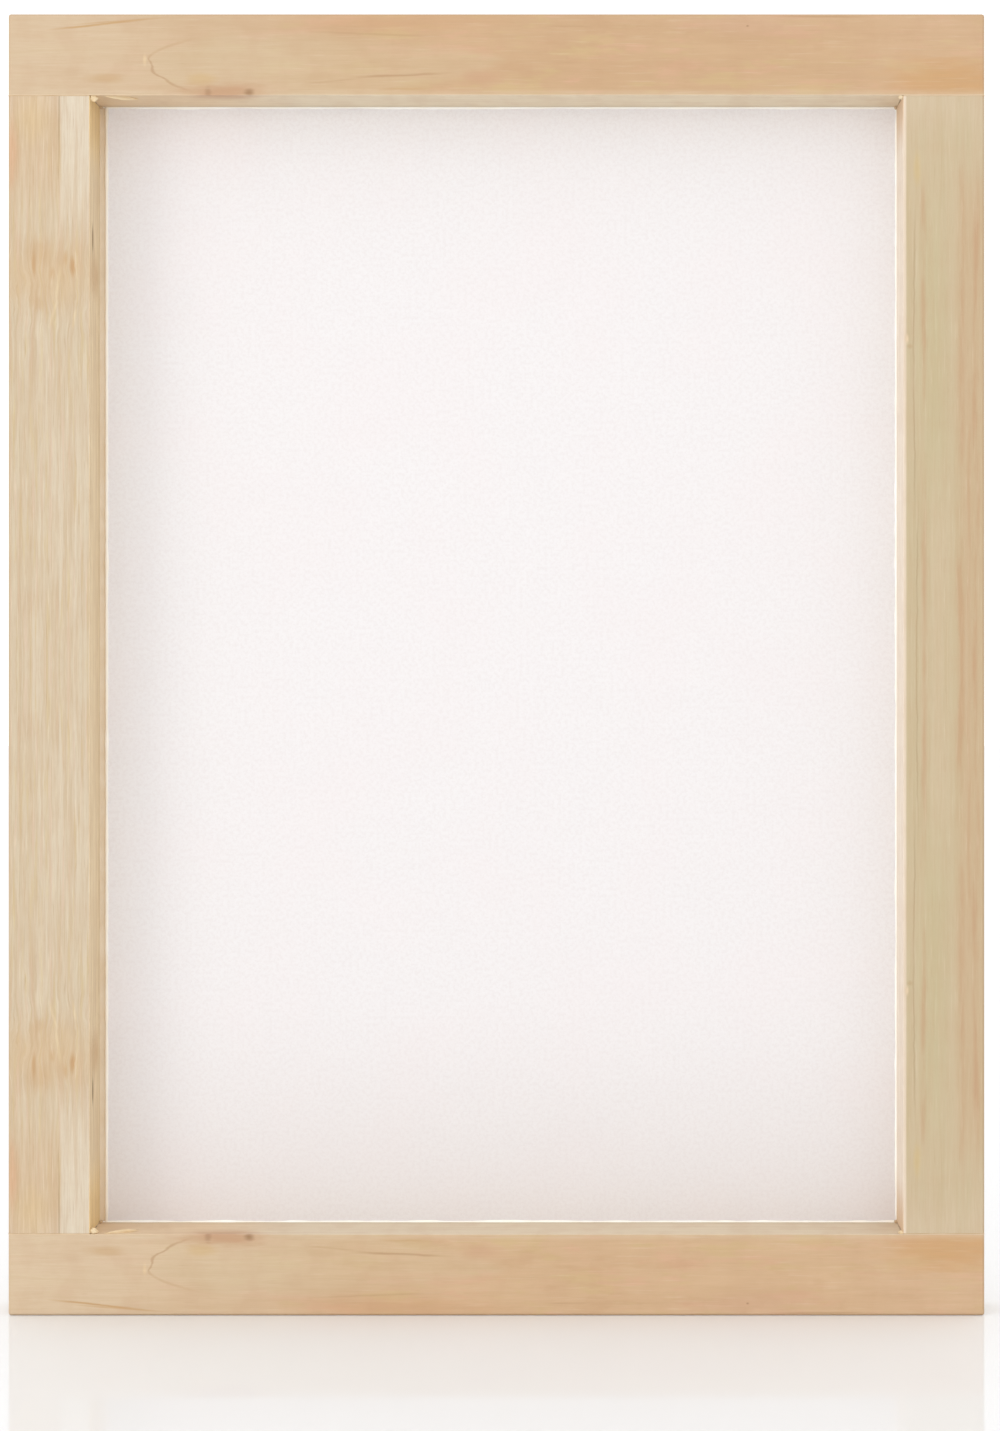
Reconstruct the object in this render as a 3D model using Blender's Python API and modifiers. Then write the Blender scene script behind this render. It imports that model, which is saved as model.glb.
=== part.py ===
"""A wooden screen printing frame, standing on its bottom edge.

Two rails run the full width and two stiles stand between them. Each corner is a bridle joint: a tenon on
the stile passes through an open slot in the rail's end, and two steel brads driven from the back lock it.
Woven mesh is stretched over the back and held there by a band of cured adhesive on each member.

The frame lies in the XZ plane, with its open well facing -Y and the mesh on the +Y side. The origin is at
the bottom centre of the bounding box. Everything is in metres.
"""

import math

import bmesh
import bpy
from mathutils import Matrix

INCH = 0.0254

# Driving dimensions of the wood.
WIDTH = 12 * INCH
HEIGHT = 16 * INCH
MEMBER_WIDTH = 1 * INCH
THICKNESS = 0.75 * INCH
EASED_EDGE = 0.0008
EASED_SEGMENTS = 3

# Shares of a piece's half size: past the first an edge is on its rim, and within the second it is central.
ON_RIM = 0.9
CENTRAL = 0.1

# The clearance kept between any two pieces that touch.
GAP = 0.0003

# Bridle joints at the corners.
TENON_THICKNESS = THICKNESS / 3
TENON_SHY = 0.0002

# The layers on the back, in the order they are laid.
MESH_THICKNESS = 0.0002
ADHESIVE_THICKNESS = 0.00025
MESH_INSET = 0.0032
ADHESIVE_INSET = 0.0042

# Brads that lock the corners.
BRAD_LENGTH = 0.015
BRAD_RADIUS = 0.0006
BRAD_HEAD_RADIUS = 0.0012
BRAD_HEAD_HEIGHT = 0.0006
BRAD_POINT = 0.0018
BRAD_SIDES = 12
BRAD_OFFSET = 0.0052
BRAD_SET_BELOW = 0.0002
HOLE_OVERSHOOT = 0.0004

# Depths, from the front face of the wood to the outside of the adhesive.
FRONT_Y = -(THICKNESS + 2 * GAP + MESH_THICKNESS + ADHESIVE_THICKNESS) / 2
WOOD_BACK_Y = FRONT_Y + THICKNESS
WOOD_MIDDLE_Y = FRONT_Y + THICKNESS / 2
MESH_Y = WOOD_BACK_Y + GAP
ADHESIVE_Y = MESH_Y + MESH_THICKNESS + GAP

STILE_X = (WIDTH - MEMBER_WIDTH) / 2
BOTTOM_RAIL_Z = MEMBER_WIDTH / 2
TOP_RAIL_Z = HEIGHT - MEMBER_WIDTH / 2
SHOULDER_LOW_Z = MEMBER_WIDTH + GAP
SHOULDER_HIGH_Z = HEIGHT - SHOULDER_LOW_Z

# Points of a turned profile closer than this are one point.
WELD = 0.00001


def clear_scene():
    for obj in list(bpy.data.objects):
        bpy.data.objects.remove(obj, do_unlink=True)


def new_collection(name):
    collection = bpy.data.collections.new(name)
    bpy.context.scene.collection.children.link(collection)
    return collection


def principled(name, colour, roughness, metallic=0.0):
    material = bpy.data.materials.new(name)
    material.use_nodes = True
    shader = material.node_tree.nodes["Principled BSDF"]
    shader.inputs["Base Color"].default_value = (*colour, 1.0)
    shader.inputs["Roughness"].default_value = roughness
    shader.inputs["Metallic"].default_value = metallic
    return material


def make_materials():
    return {
        "rail_wood": principled("rail_wood", (0.66, 0.46, 0.28), 0.55),
        "stile_wood": principled("stile_wood", (0.72, 0.56, 0.37), 0.55),
        "mesh_fabric": principled("mesh_fabric", (0.92, 0.89, 0.88), 0.7),
        "adhesive": principled("adhesive", (0.86, 0.8, 0.66), 0.3),
        "brad_steel": principled("brad_steel", (0.5, 0.5, 0.5), 0.35, 1.0),
    }


def add_object(name, data, collection, material=None, location=(0, 0, 0)):
    obj = bpy.data.objects.new(name, data)
    obj.location = location
    if material and not data.materials:
        data.materials.append(material)
    collection.objects.link(obj)
    return obj


def as_helper(obj):
    """A cutter or a tool body: it shapes its neighbours and isn't a piece of the frame."""
    obj.hide_render = True
    obj.display_type = "WIRE"
    return obj


def mesh_from(name, form):
    mesh = bpy.data.meshes.new(name)
    form.to_mesh(mesh)
    form.free()
    return mesh


def add_block(form, matrix, size):
    made = bmesh.ops.create_cube(form, size=1.0)["verts"]
    bmesh.ops.scale(form, vec=size, verts=made)
    bmesh.ops.transform(form, matrix=matrix, verts=made)


def box_between(name, low, high, collection, material=None):
    """A block with its origin at its centre."""
    form = bmesh.new()
    add_block(form, Matrix.Identity(4), [b - a for a, b in zip(low, high)])
    centre = [(a + b) / 2 for a, b in zip(low, high)]
    return add_object(name, mesh_from(name, form), collection, material, centre)


def ease_edges(obj, chosen):
    """Rounds the edges whose middle, in the object's own frame, passes the test."""
    mesh = obj.data
    weight = mesh.attributes.new("bevel_weight_edge", "FLOAT", "EDGE")
    for edge in mesh.edges:
        ends = [mesh.vertices[i].co for i in edge.vertices]
        weight.data[edge.index].value = float(chosen((ends[0] + ends[1]) / 2))
    bevel = obj.modifiers.new("eased_edges", "BEVEL")
    bevel.limit_method = "WEIGHT"
    bevel.width = EASED_EDGE
    bevel.segments = EASED_SEGMENTS


def boolean(obj, other, operation):
    modifier = obj.modifiers.new(f"{operation.lower()}_{other.name}", "BOOLEAN")
    modifier.operation = operation
    modifier.object = other


def make_rail(name, centre_z, outward, collection, material):
    """A full-width rail. Its outer long edges and both ends are eased, and its inner edges stay crisp."""
    half_x = WIDTH / 2
    half_z = MEMBER_WIDTH / 2
    low = (-half_x, FRONT_Y, centre_z - half_z)
    high = (half_x, WOOD_BACK_Y, centre_z + half_z)
    rail = box_between(name, low, high, collection, material)

    def is_outer(middle):
        on_outer_side = middle.z * outward > half_z * ON_RIM
        upright_at_end = abs(middle.x) > half_x * ON_RIM and abs(middle.z) < half_z * CENTRAL
        return on_outer_side or upright_at_end

    ease_edges(rail, is_outer)
    return rail


def make_stile(name, side, collection, helpers, material):
    """A stile between the rails, with a tenon at each end that reaches almost to the frame's edge."""
    half_width = MEMBER_WIDTH / 2
    x = side * STILE_X
    low = (x - half_width, FRONT_Y, SHOULDER_LOW_Z)
    high = (x + half_width, WOOD_BACK_Y, SHOULDER_HIGH_Z)
    stile = box_between(name, low, high, collection, material)

    def is_outer(middle):
        runs_along = abs(middle.z) < HEIGHT / 2 * CENTRAL
        return runs_along and middle.x * side > half_width * ON_RIM

    ease_edges(stile, is_outer)
    half_tenon = TENON_THICKNESS / 2
    tenon_half_width = half_width - TENON_SHY
    tongue = box_between(
        f"{name}_tongues",
        (x - tenon_half_width, WOOD_MIDDLE_Y - half_tenon, TENON_SHY),
        (x + tenon_half_width, WOOD_MIDDLE_Y + half_tenon, HEIGHT - TENON_SHY),
        helpers,
    )
    boolean(stile, as_helper(tongue), "UNION")
    return stile


def rail_slots(helpers):
    """The open slots in the rails' ends. Each ends one gap past its tenon's inner edge."""
    overrun = 2 * EASED_EDGE
    slot_depth = MEMBER_WIDTH - TENON_SHY + GAP
    size = (slot_depth + overrun, TENON_THICKNESS + 2 * GAP, MEMBER_WIDTH + 2 * overrun)
    form = bmesh.new()
    for side in (-1, 1):
        x = side * (WIDTH / 2 + overrun - size[0] / 2)
        for z in (BOTTOM_RAIL_Z, TOP_RAIL_Z):
            add_block(form, Matrix.Translation((x, WOOD_MIDDLE_Y, z)), size)
    return as_helper(add_object("rail_slots", mesh_from("rail_slots", form), helpers))


def brad_places():
    """(name, x, z) of the two brads in each corner, on the diagonal across the joint."""
    places = []
    for row, z in (("bottom", BOTTOM_RAIL_Z), ("top", TOP_RAIL_Z)):
        for column, x in (("left", -STILE_X), ("right", STILE_X)):
            inward_x = -math.copysign(BRAD_OFFSET, x)
            inward_z = math.copysign(BRAD_OFFSET, HEIGHT / 2 - z)
            places.append((f"{row}_{column}_brad_outer", x - inward_x, z - inward_z))
            places.append((f"{row}_{column}_brad_inner", x + inward_x, z + inward_z))
    return places


def brad_matrix(x, z):
    """Turns a brad so that it points to the front, with its head just below the wood's back face."""
    along = Matrix.Rotation(-math.pi / 2, 4, "X")
    return Matrix.Translation((x, WOOD_BACK_Y - BRAD_SET_BELOW, z)) @ along


def brad_mesh(material):
    """A brad's profile, from the middle of its head down to its point, on the +X side."""
    profile = [
        (0, 0),
        (BRAD_HEAD_RADIUS, 0),
        (BRAD_HEAD_RADIUS, -BRAD_HEAD_HEIGHT),
        (BRAD_RADIUS, -BRAD_HEAD_HEIGHT),
        (BRAD_RADIUS, BRAD_POINT - BRAD_LENGTH),
        (0, -BRAD_LENGTH),
    ]
    mesh = bpy.data.meshes.new("brad")
    points = [(radius, 0, z) for radius, z in profile]
    mesh.from_pydata(points, [(i, i + 1) for i in range(len(points) - 1)], [])
    mesh.materials.append(material)
    return mesh


def make_brads(collection, material):
    mesh = brad_mesh(material)
    for name, x, z in brad_places():
        brad = add_object(name, mesh, collection)
        brad.matrix_world = brad_matrix(x, z)
        screw = brad.modifiers.new("turned", "SCREW")
        screw.steps = BRAD_SIDES
        screw.render_steps = BRAD_SIDES
        screw.use_merge_vertices = True
        screw.merge_threshold = WELD


def round_holes(name, radius, top, bottom, helpers):
    """A round hole at every brad, from top down to bottom in the brad's own frame."""
    form = bmesh.new()
    middle = Matrix.Translation((0, 0, (top + bottom) / 2))
    for _, x, z in brad_places():
        made = bmesh.ops.create_cone(
            form,
            cap_ends=True,
            segments=BRAD_SIDES,
            radius1=radius,
            radius2=radius,
            depth=top - bottom,
        )["verts"]
        bmesh.ops.transform(form, matrix=brad_matrix(x, z) @ middle, verts=made)
    return as_helper(add_object(name, mesh_from(name, form), helpers))


def make_mesh_panel(collection, material):
    half = WIDTH / 2 - MESH_INSET
    low = (-half, MESH_Y, MESH_INSET)
    high = (half, MESH_Y + MESH_THICKNESS, HEIGHT - MESH_INSET)
    return box_between("screen_mesh", low, high, collection, material)


def make_adhesive(collection, material):
    """A band on each member. The top and bottom ones run across, and the side ones butt against them."""
    half = WIDTH / 2 - ADHESIVE_INSET
    inner = WIDTH / 2 - MEMBER_WIDTH
    low_z = ADHESIVE_INSET
    high_z = HEIGHT - ADHESIVE_INSET
    spans = {
        "adhesive_bottom": ((-half, low_z), (half, MEMBER_WIDTH)),
        "adhesive_top": ((-half, HEIGHT - MEMBER_WIDTH), (half, high_z)),
        "adhesive_left": ((-half, SHOULDER_LOW_Z), (-inner, SHOULDER_HIGH_Z)),
        "adhesive_right": ((inner, SHOULDER_LOW_Z), (half, SHOULDER_HIGH_Z)),
    }
    back = ADHESIVE_Y + ADHESIVE_THICKNESS
    for name, ((x0, z0), (x1, z1)) in spans.items():
        box_between(name, (x0, ADHESIVE_Y, z0), (x1, back, z1), collection, material)


def main():
    clear_scene()
    frame = new_collection("screen_printing_frame")
    helpers = new_collection("cutters")
    materials = make_materials()

    rails = [
        make_rail("bottom_rail", BOTTOM_RAIL_Z, -1, frame, materials["rail_wood"]),
        make_rail("top_rail", TOP_RAIL_Z, 1, frame, materials["rail_wood"]),
    ]
    stiles = [
        make_stile("left_stile", -1, frame, helpers, materials["stile_wood"]),
        make_stile("right_stile", 1, frame, helpers, materials["stile_wood"]),
    ]
    make_mesh_panel(frame, materials["mesh_fabric"])
    make_adhesive(frame, materials["adhesive"])
    make_brads(frame, materials["brad_steel"])

    above = BRAD_SET_BELOW + HOLE_OVERSHOOT
    shaft_end = -BRAD_LENGTH - HOLE_OVERSHOOT
    shaft_holes = round_holes("brad_shaft_holes", BRAD_RADIUS + GAP, above, shaft_end, helpers)
    # The recesses start above the shaft holes, so that no two cutter faces lie in one plane.
    recess_top = 2 * above
    head_end = -BRAD_HEAD_HEIGHT - GAP
    head_recesses = round_holes("brad_recesses", BRAD_HEAD_RADIUS + GAP, recess_top, head_end, helpers)
    slots = rail_slots(helpers)
    for rail in rails:
        boolean(rail, slots, "DIFFERENCE")
        boolean(rail, head_recesses, "DIFFERENCE")
    for member in rails + stiles:
        boolean(member, shaft_holes, "DIFFERENCE")


main()
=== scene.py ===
"""Looks for a wooden screen printing frame: solid wood grain, stretched cloth, and cured glue."""

import math

import bmesh
import bpy
import numpy as np
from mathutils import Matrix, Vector, noise

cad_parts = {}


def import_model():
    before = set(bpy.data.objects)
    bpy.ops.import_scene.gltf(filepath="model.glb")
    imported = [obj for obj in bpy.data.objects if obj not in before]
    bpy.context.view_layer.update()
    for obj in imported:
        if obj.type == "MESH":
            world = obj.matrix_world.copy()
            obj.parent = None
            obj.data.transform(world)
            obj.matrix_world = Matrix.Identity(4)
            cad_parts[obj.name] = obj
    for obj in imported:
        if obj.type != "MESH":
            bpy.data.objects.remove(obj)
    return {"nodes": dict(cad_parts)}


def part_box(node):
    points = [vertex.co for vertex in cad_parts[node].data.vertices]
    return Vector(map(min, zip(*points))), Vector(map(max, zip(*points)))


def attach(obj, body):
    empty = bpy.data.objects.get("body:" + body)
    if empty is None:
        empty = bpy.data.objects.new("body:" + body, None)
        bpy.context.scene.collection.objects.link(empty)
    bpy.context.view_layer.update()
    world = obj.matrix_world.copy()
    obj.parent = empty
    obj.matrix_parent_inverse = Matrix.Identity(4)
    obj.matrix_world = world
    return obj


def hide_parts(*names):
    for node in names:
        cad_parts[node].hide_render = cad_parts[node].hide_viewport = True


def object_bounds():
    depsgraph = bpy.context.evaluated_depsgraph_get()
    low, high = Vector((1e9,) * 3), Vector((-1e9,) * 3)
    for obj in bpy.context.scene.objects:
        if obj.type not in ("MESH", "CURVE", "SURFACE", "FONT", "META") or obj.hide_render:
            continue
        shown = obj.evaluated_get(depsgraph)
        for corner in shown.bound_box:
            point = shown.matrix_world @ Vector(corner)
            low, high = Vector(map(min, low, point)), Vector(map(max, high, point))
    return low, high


MM = 0.001

# Where the camera stands, in metres. It is a little right of the frame's middle.
CAMERA_DISTANCE = 0.86
CAMERA_X = 0.0294
SENSOR = 36.0
PICTURE_HEIGHT_M = 0.4467
SHIFT_X = -0.0633
SHIFT_Y = -0.0355

# The studio light's strength. Wood colours below are as seen under it.
STUDIO_LIGHT = 1.19

# How pointed the ends of a grain oval are: 2 is a plain ellipse, and less is sharper.
POINTED = 1.55

# A member's section: how wide its face is and how deep the wood goes behind it.
FACE_WIDTH = 25.4 * MM
WOOD_DEPTH = 19.05 * MM

# The floor: how far it reaches each way, how pale it is, and how much and how sharply it mirrors.
FLOOR_REACH = 6.0
FLOOR_PALENESS = 0.83
FLOOR_MIRROR = 0.18
FLOOR_BLUR = 0.06

# A soft lamp at the front left. Its place and size are in metres.
LAMP_PLACE = (-2.4, -1.9, 0.3)
LAMP_SIZE = (1.2, 1.2)
LAMP_POWER = 23

# Cloth: 110 threads to the inch, and the fringe its cut edge leaves.
THREAD_PITCH = 25.4 * MM / 110
CLOTH_THICKNESS = 0.12 * MM
CLOTH_LIFT = 0.06 * MM
CLOTH_CELLS_X = 60
CLOTH_CELLS_Z = 80
CLOTH_EDGE_WANDER = 0.25 * MM
FRINGE_SPACING = 1.7 * MM
FRINGE_RADIUS = 0.035 * MM
FRINGE_INSET = 0.3 * MM
FRINGE_STEPS = 3
FRINGE_SIDES = 5

# Cured adhesive on the back and along the foot of the inner walls.
ADHESIVE_STEP = 1.6 * MM
ADHESIVE_ROWS = 14
ADHESIVE_EDGE_WANDER = 0.9 * MM
ADHESIVE_CLEARANCE = 0.02 * MM
FOOT_RISE = 0.1 * MM
BEAD_RADIUS = 0.62 * MM
BEAD_STEP = 1.5 * MM
BEAD_SIDES = 12
BEAD_SINK = 0.14 * MM
RUN_HEIGHT = 1.4 * MM
RUN_STEPS = 24
RUN_SIDES = 6

# The fillet along the left wall: how far each point of its outline is from the wall, and how far
# behind the wall's foot. Less than 0 is in front of it.
FILLET_REACH = 2.0 * MM
FILLET_SECTION = (
    (-0.1 * MM, BEAD_SINK),
    (FILLET_REACH, BEAD_SINK),
    (FILLET_REACH, -0.06 * MM),
    (1.3 * MM, -0.22 * MM),
    (0.7 * MM, -0.5 * MM),
    (0.2 * MM, -0.95 * MM),
    (-0.1 * MM, -1.2 * MM),
)

# Glue lines in the joints: how wide they are, and how far under the surface they stop.
JOINT_GAP = 0.28 * MM
JOINT_SUNK = 0.05 * MM
JOINT_STEPS = 12

BODY = "root"
SHARP_ANGLE = math.radians(40)


def srgb(red, green, blue):
    """A display colour from 0 to 255 as linear light, with an alpha of 1."""
    values = []
    for channel in (red, green, blue):
        c = channel / 255
        values.append(c / 12.92 if c <= 0.04045 else ((c + 0.055) / 1.055) ** 2.4)
    return (*values, 1.0)


def wood_tone(red, green, blue):
    """The bare colour of wood that looks like this one under the studio light."""
    seen = srgb(red, green, blue)
    return (*[channel / STUDIO_LIGHT for channel in seen[:3]], 1.0)


class Graph:
    """Short names for the shader nodes that the materials below are made of."""

    def __init__(self, name):
        self.material = bpy.data.materials.new(name)
        self.material.use_nodes = True
        self.tree = self.material.node_tree
        self.shader = self.tree.nodes["Principled BSDF"]
        self.output = self.tree.nodes["Material Output"]

    def node(self, kind):
        return self.tree.nodes.new(kind)

    def put(self, value, socket):
        if isinstance(value, bpy.types.NodeSocket):
            self.tree.links.new(value, socket)
        else:
            socket.default_value = value

    def math(self, operation, *values):
        node = self.node("ShaderNodeMath")
        node.operation = operation
        for value, socket in zip(values, node.inputs):
            self.put(value, socket)
        return node.outputs[0]

    def add(self, a, b):
        return self.math("ADD", a, b)

    def sub(self, a, b):
        return self.math("SUBTRACT", a, b)

    def mul(self, a, b):
        return self.math("MULTIPLY", a, b)

    def position(self):
        split = self.node("ShaderNodeSeparateXYZ")
        self.put(self.node("ShaderNodeTexCoord").outputs["Object"], split.inputs[0])
        return split.outputs

    def combine(self, x, y, z):
        node = self.node("ShaderNodeCombineXYZ")
        for value, socket in zip((x, y, z), node.inputs):
            self.put(value, socket)
        return node.outputs[0]

    def noise(self, vector, scale=1.0, detail=3.0, roughness=0.55):
        node = self.node("ShaderNodeTexNoise")
        self.put(vector, node.inputs["Vector"])
        self.put(scale, node.inputs["Scale"])
        self.put(detail, node.inputs["Detail"])
        self.put(roughness, node.inputs["Roughness"])
        return node.outputs["Fac"]

    def ease(self, value, low, high):
        """0 below low, 1 above high, and smooth between. It runs down where high is under low."""
        node = self.node("ShaderNodeMapRange")
        node.interpolation_type = "SMOOTHSTEP"
        rising = low < high
        self.put(value, node.inputs["Value"])
        self.put(min(low, high), node.inputs["From Min"])
        self.put(max(low, high), node.inputs["From Max"])
        self.put(0.0 if rising else 1.0, node.inputs["To Min"])
        self.put(1.0 if rising else 0.0, node.inputs["To Max"])
        return node.outputs[0]

    def mix(self, amount, first, second):
        node = self.node("ShaderNodeMix")
        node.data_type = "RGBA"
        self.put(amount, node.inputs["Factor"])
        self.put(first, node.inputs[6])
        self.put(second, node.inputs[7])
        return node.outputs[2]

    def bump(self, height, distance, strength=1.0):
        node = self.node("ShaderNodeBump")
        self.put(height, node.inputs["Height"])
        node.inputs["Distance"].default_value = distance
        node.inputs["Strength"].default_value = strength
        self.put(node.outputs[0], self.shader.inputs["Normal"])


class Wood(Graph):
    """Solid wood. u runs along the grain, v across the front face and w into the depth, in metres."""

    def __init__(self, name, along, across, front):
        super().__init__(name)
        self.along = along(self)
        self.across = across(self)
        self.depth = self.sub(self.position()[1], front)
        self.grain_across = self.across

    def bend_grain(self, u, reach, amount):
        """Makes the fibres swerve sideways near u, as they do round a branch."""
        du = self.math("DIVIDE", self.sub(self.along, u), reach)
        near = self.math("EXPONENT", self.mul(self.mul(du, du), -1.0))
        place = self.combine(self.mul(self.along, 60), self.mul(self.across, 130), 0)
        ragged = self.sub(self.noise(place), 0.5)
        self.grain_across = self.add(self.across, self.mul(self.mul(near, ragged), amount))

    def stretched(self, along_scale, cross_scale, offset=0.0):
        return self.combine(
            self.add(self.mul(self.along, along_scale), offset),
            self.mul(self.grain_across, cross_scale),
            self.mul(self.depth, cross_scale),
        )

    def rings(self, pith_v, pith_w, spacing, warp):
        """Growth rings round a pith that runs along the piece, with sharp latewood lines."""
        wobble = self.mul(self.sub(self.noise(self.stretched(7, 60)), 0.5), warp)
        dv = self.sub(self.grain_across, pith_v)
        dw = self.sub(self.depth, pith_w)
        radius = self.math("SQRT", self.add(self.mul(dv, dv), self.mul(dw, dw)))
        turns = self.math("DIVIDE", self.add(radius, wobble), spacing)
        phase = self.math("FRACT", turns)
        return self.mul(self.ease(phase, 0.45, 0.93), self.ease(phase, 1.0, 0.955))

    def oval(self, u, v, half_u, half_v, half_w, taper, wander):
        """How far outside a pointed, egg-shaped body a place is, in metres. It is negative inside.

        The body narrows towards +u by its taper, and its skin wanders by up to half of wander.
        """
        shake = self.mul(self.sub(self.noise(self.stretched(45, 130, 21), detail=4), 0.5), wander)
        t = self.math("DIVIDE", self.add(self.sub(self.along, u), self.mul(shake, 2.5)), half_u)
        widen = self.add(1.0, self.mul(t, taper))
        s = self.math("DIVIDE", self.mul(self.add(self.sub(self.across, v), shake), widen), half_v)
        s = self.math("ABSOLUTE", s)
        total = self.add(self.mul(t, t), self.math("POWER", s, POINTED))
        r = self.math("DIVIDE", self.depth, half_w)
        total = self.add(total, self.mul(r, r))
        slope_u = self.math("DIVIDE", t, half_u)
        slope_v = self.math("DIVIDE", self.math("POWER", s, POINTED - 1), half_v)
        slope = self.math("SQRT", self.add(self.mul(slope_u, slope_u), self.mul(slope_v, slope_v)))
        return self.math("DIVIDE", self.sub(total, 1.0), self.mul(self.math("MAXIMUM", slope, 1.0), 2.0))

    def spot(self, u, v, half_u, half_v, w=0.0, half_w=None):
        """1 at the middle of a ragged oval, fading to 0 at its edge. half_w is how far it goes in depth."""
        du = self.math("DIVIDE", self.sub(self.along, u), half_u)
        dv = self.math("DIVIDE", self.sub(self.across, v), half_v)
        total = self.add(self.mul(du, du), self.mul(dv, dv))
        if half_w is not None:
            dw = self.math("DIVIDE", self.sub(self.depth, w), half_w)
            total = self.add(total, self.mul(dw, dw))
        away = self.math("SQRT", total)
        ragged = self.mul(self.sub(self.noise(self.stretched(120, 500)), 0.5), 0.7)
        return self.ease(self.add(away, ragged), 1.0, 0.15)

    def hair(self, start, end, half_width, wander=0.6 * MM):
        """A fine line between two places on the face, thinning out to nothing at both ends."""
        t = self.math("DIVIDE", self.sub(self.along, start[0]), end[0] - start[0])
        shake = self.mul(self.sub(self.noise(self.stretched(90, 0, start[1] * 900), detail=4), 0.5), wander)
        middle = self.add(self.add(self.mul(t, end[1] - start[1]), start[1]), shake)
        away = self.math("ABSOLUTE", self.sub(self.across, middle))
        ends = self.mul(self.ease(t, 0.0, 0.35), self.ease(t, 1.0, 0.65))
        return self.mul(self.ease(away, half_width, half_width * 0.1), ends)

    def streak(self, v, width, offset):
        """A long line down the grain that wanders, and comes and goes."""
        drift = self.mul(self.sub(self.noise(self.stretched(14, 0, offset)), 0.5), 3.4 * MM)
        away = self.math("ABSOLUTE", self.sub(self.add(self.across, drift), v))
        there = self.ease(self.noise(self.stretched(30, 260, offset + 7), detail=5), 0.4, 0.64)
        return self.mul(self.ease(away, width, width * 0.1), there)

    def tint(self, colour, mask, amount, target):
        return self.mix(self.mul(mask, amount), colour, target)

    def by_front_or_back(self):
        """1 within about a millimetre of the front and back faces, and 0 between them."""
        front = self.ease(self.depth, 1.3 * MM, 0.5 * MM)
        back = self.ease(self.depth, WOOD_DEPTH - 1.35 * MM, WOOD_DEPTH - 0.55 * MM)
        return self.math("MAXIMUM", front, back)

    def painted_edge_shade(self, colour):
        """Painted shade: the wood is made darker along the outer arrises, where the eased edges fall into
        shade.
        """
        outer = self.ease(self.across, FACE_WIDTH - 0.8 * MM, FACE_WIDTH - 0.3 * MM)
        near_edge = self.mul(outer, self.by_front_or_back())
        return self.tint(colour, near_edge, 0.45, wood_tone(184, 154, 120))

    def end_grain(self, colour, ring, half_length):
        """Across its end the wood is browner, and its growth rings show as bands."""
        from_middle = self.math("ABSOLUTE", self.along)
        on_end = self.ease(from_middle, half_length - 0.3 * MM, half_length - 0.05 * MM)
        place = self.combine(0.0, self.mul(self.across, 1500), self.mul(self.depth, 1500))
        pores = self.ease(self.noise(place, detail=2), 0.5, 0.66)
        colour = self.tint(colour, on_end, 0.3, wood_tone(196, 160, 118))
        colour = self.tint(colour, self.mul(on_end, pores), 0.3, wood_tone(168, 128, 88))
        return self.tint(colour, self.mul(on_end, ring), 0.45, wood_tone(172, 130, 88))

    def finish_wood(self, colour, ring, fibre_contrast, figure_contrast=0.08):
        """Fibre, flecks, cross figure and a sanded surface over a colour, then the wood's own bump."""
        broad = self.noise(self.stretched(26, 620, 4), detail=4, roughness=0.6)
        fine = self.noise(self.stretched(120, 3400), detail=3, roughness=0.7)
        broad_dark = self.ease(broad, 0.62, 0.34)
        fine_dark = self.ease(fine, 0.6, 0.3)
        pale = self.ease(self.noise(self.stretched(60, 1500, 9), detail=3), 0.56, 0.72)
        dark = self.ease(self.noise(self.stretched(75, 1900, 13), detail=3), 0.6, 0.74)
        curl = self.combine(self.mul(self.along, 110), self.mul(self.across, 90), self.mul(self.depth, 90))
        figure = self.noise(curl, detail=3)
        colour = self.tint(colour, broad_dark, 0.34 * fibre_contrast, wood_tone(200, 166, 124))
        colour = self.tint(colour, fine_dark, 0.2 * fibre_contrast, wood_tone(186, 150, 108))
        colour = self.tint(colour, pale, 0.3 * fibre_contrast, wood_tone(243, 226, 198))
        colour = self.tint(colour, dark, 0.3 * fibre_contrast, wood_tone(180, 144, 102))
        colour = self.tint(colour, self.ease(figure, 0.42, 0.66), figure_contrast, wood_tone(202, 160, 124))
        self.put(colour, self.shader.inputs["Base Color"])
        self.put(self.add(0.5, self.mul(fine, 0.2)), self.shader.inputs["Roughness"])
        self.shader.inputs["Specular IOR Level"].default_value = 0.35
        height = self.add(self.add(self.mul(fine, 0.5), self.mul(ring, 0.3)), self.mul(broad, 0.3))
        self.bump(height, 0.06 * MM, 0.7)
        return self.material


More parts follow.
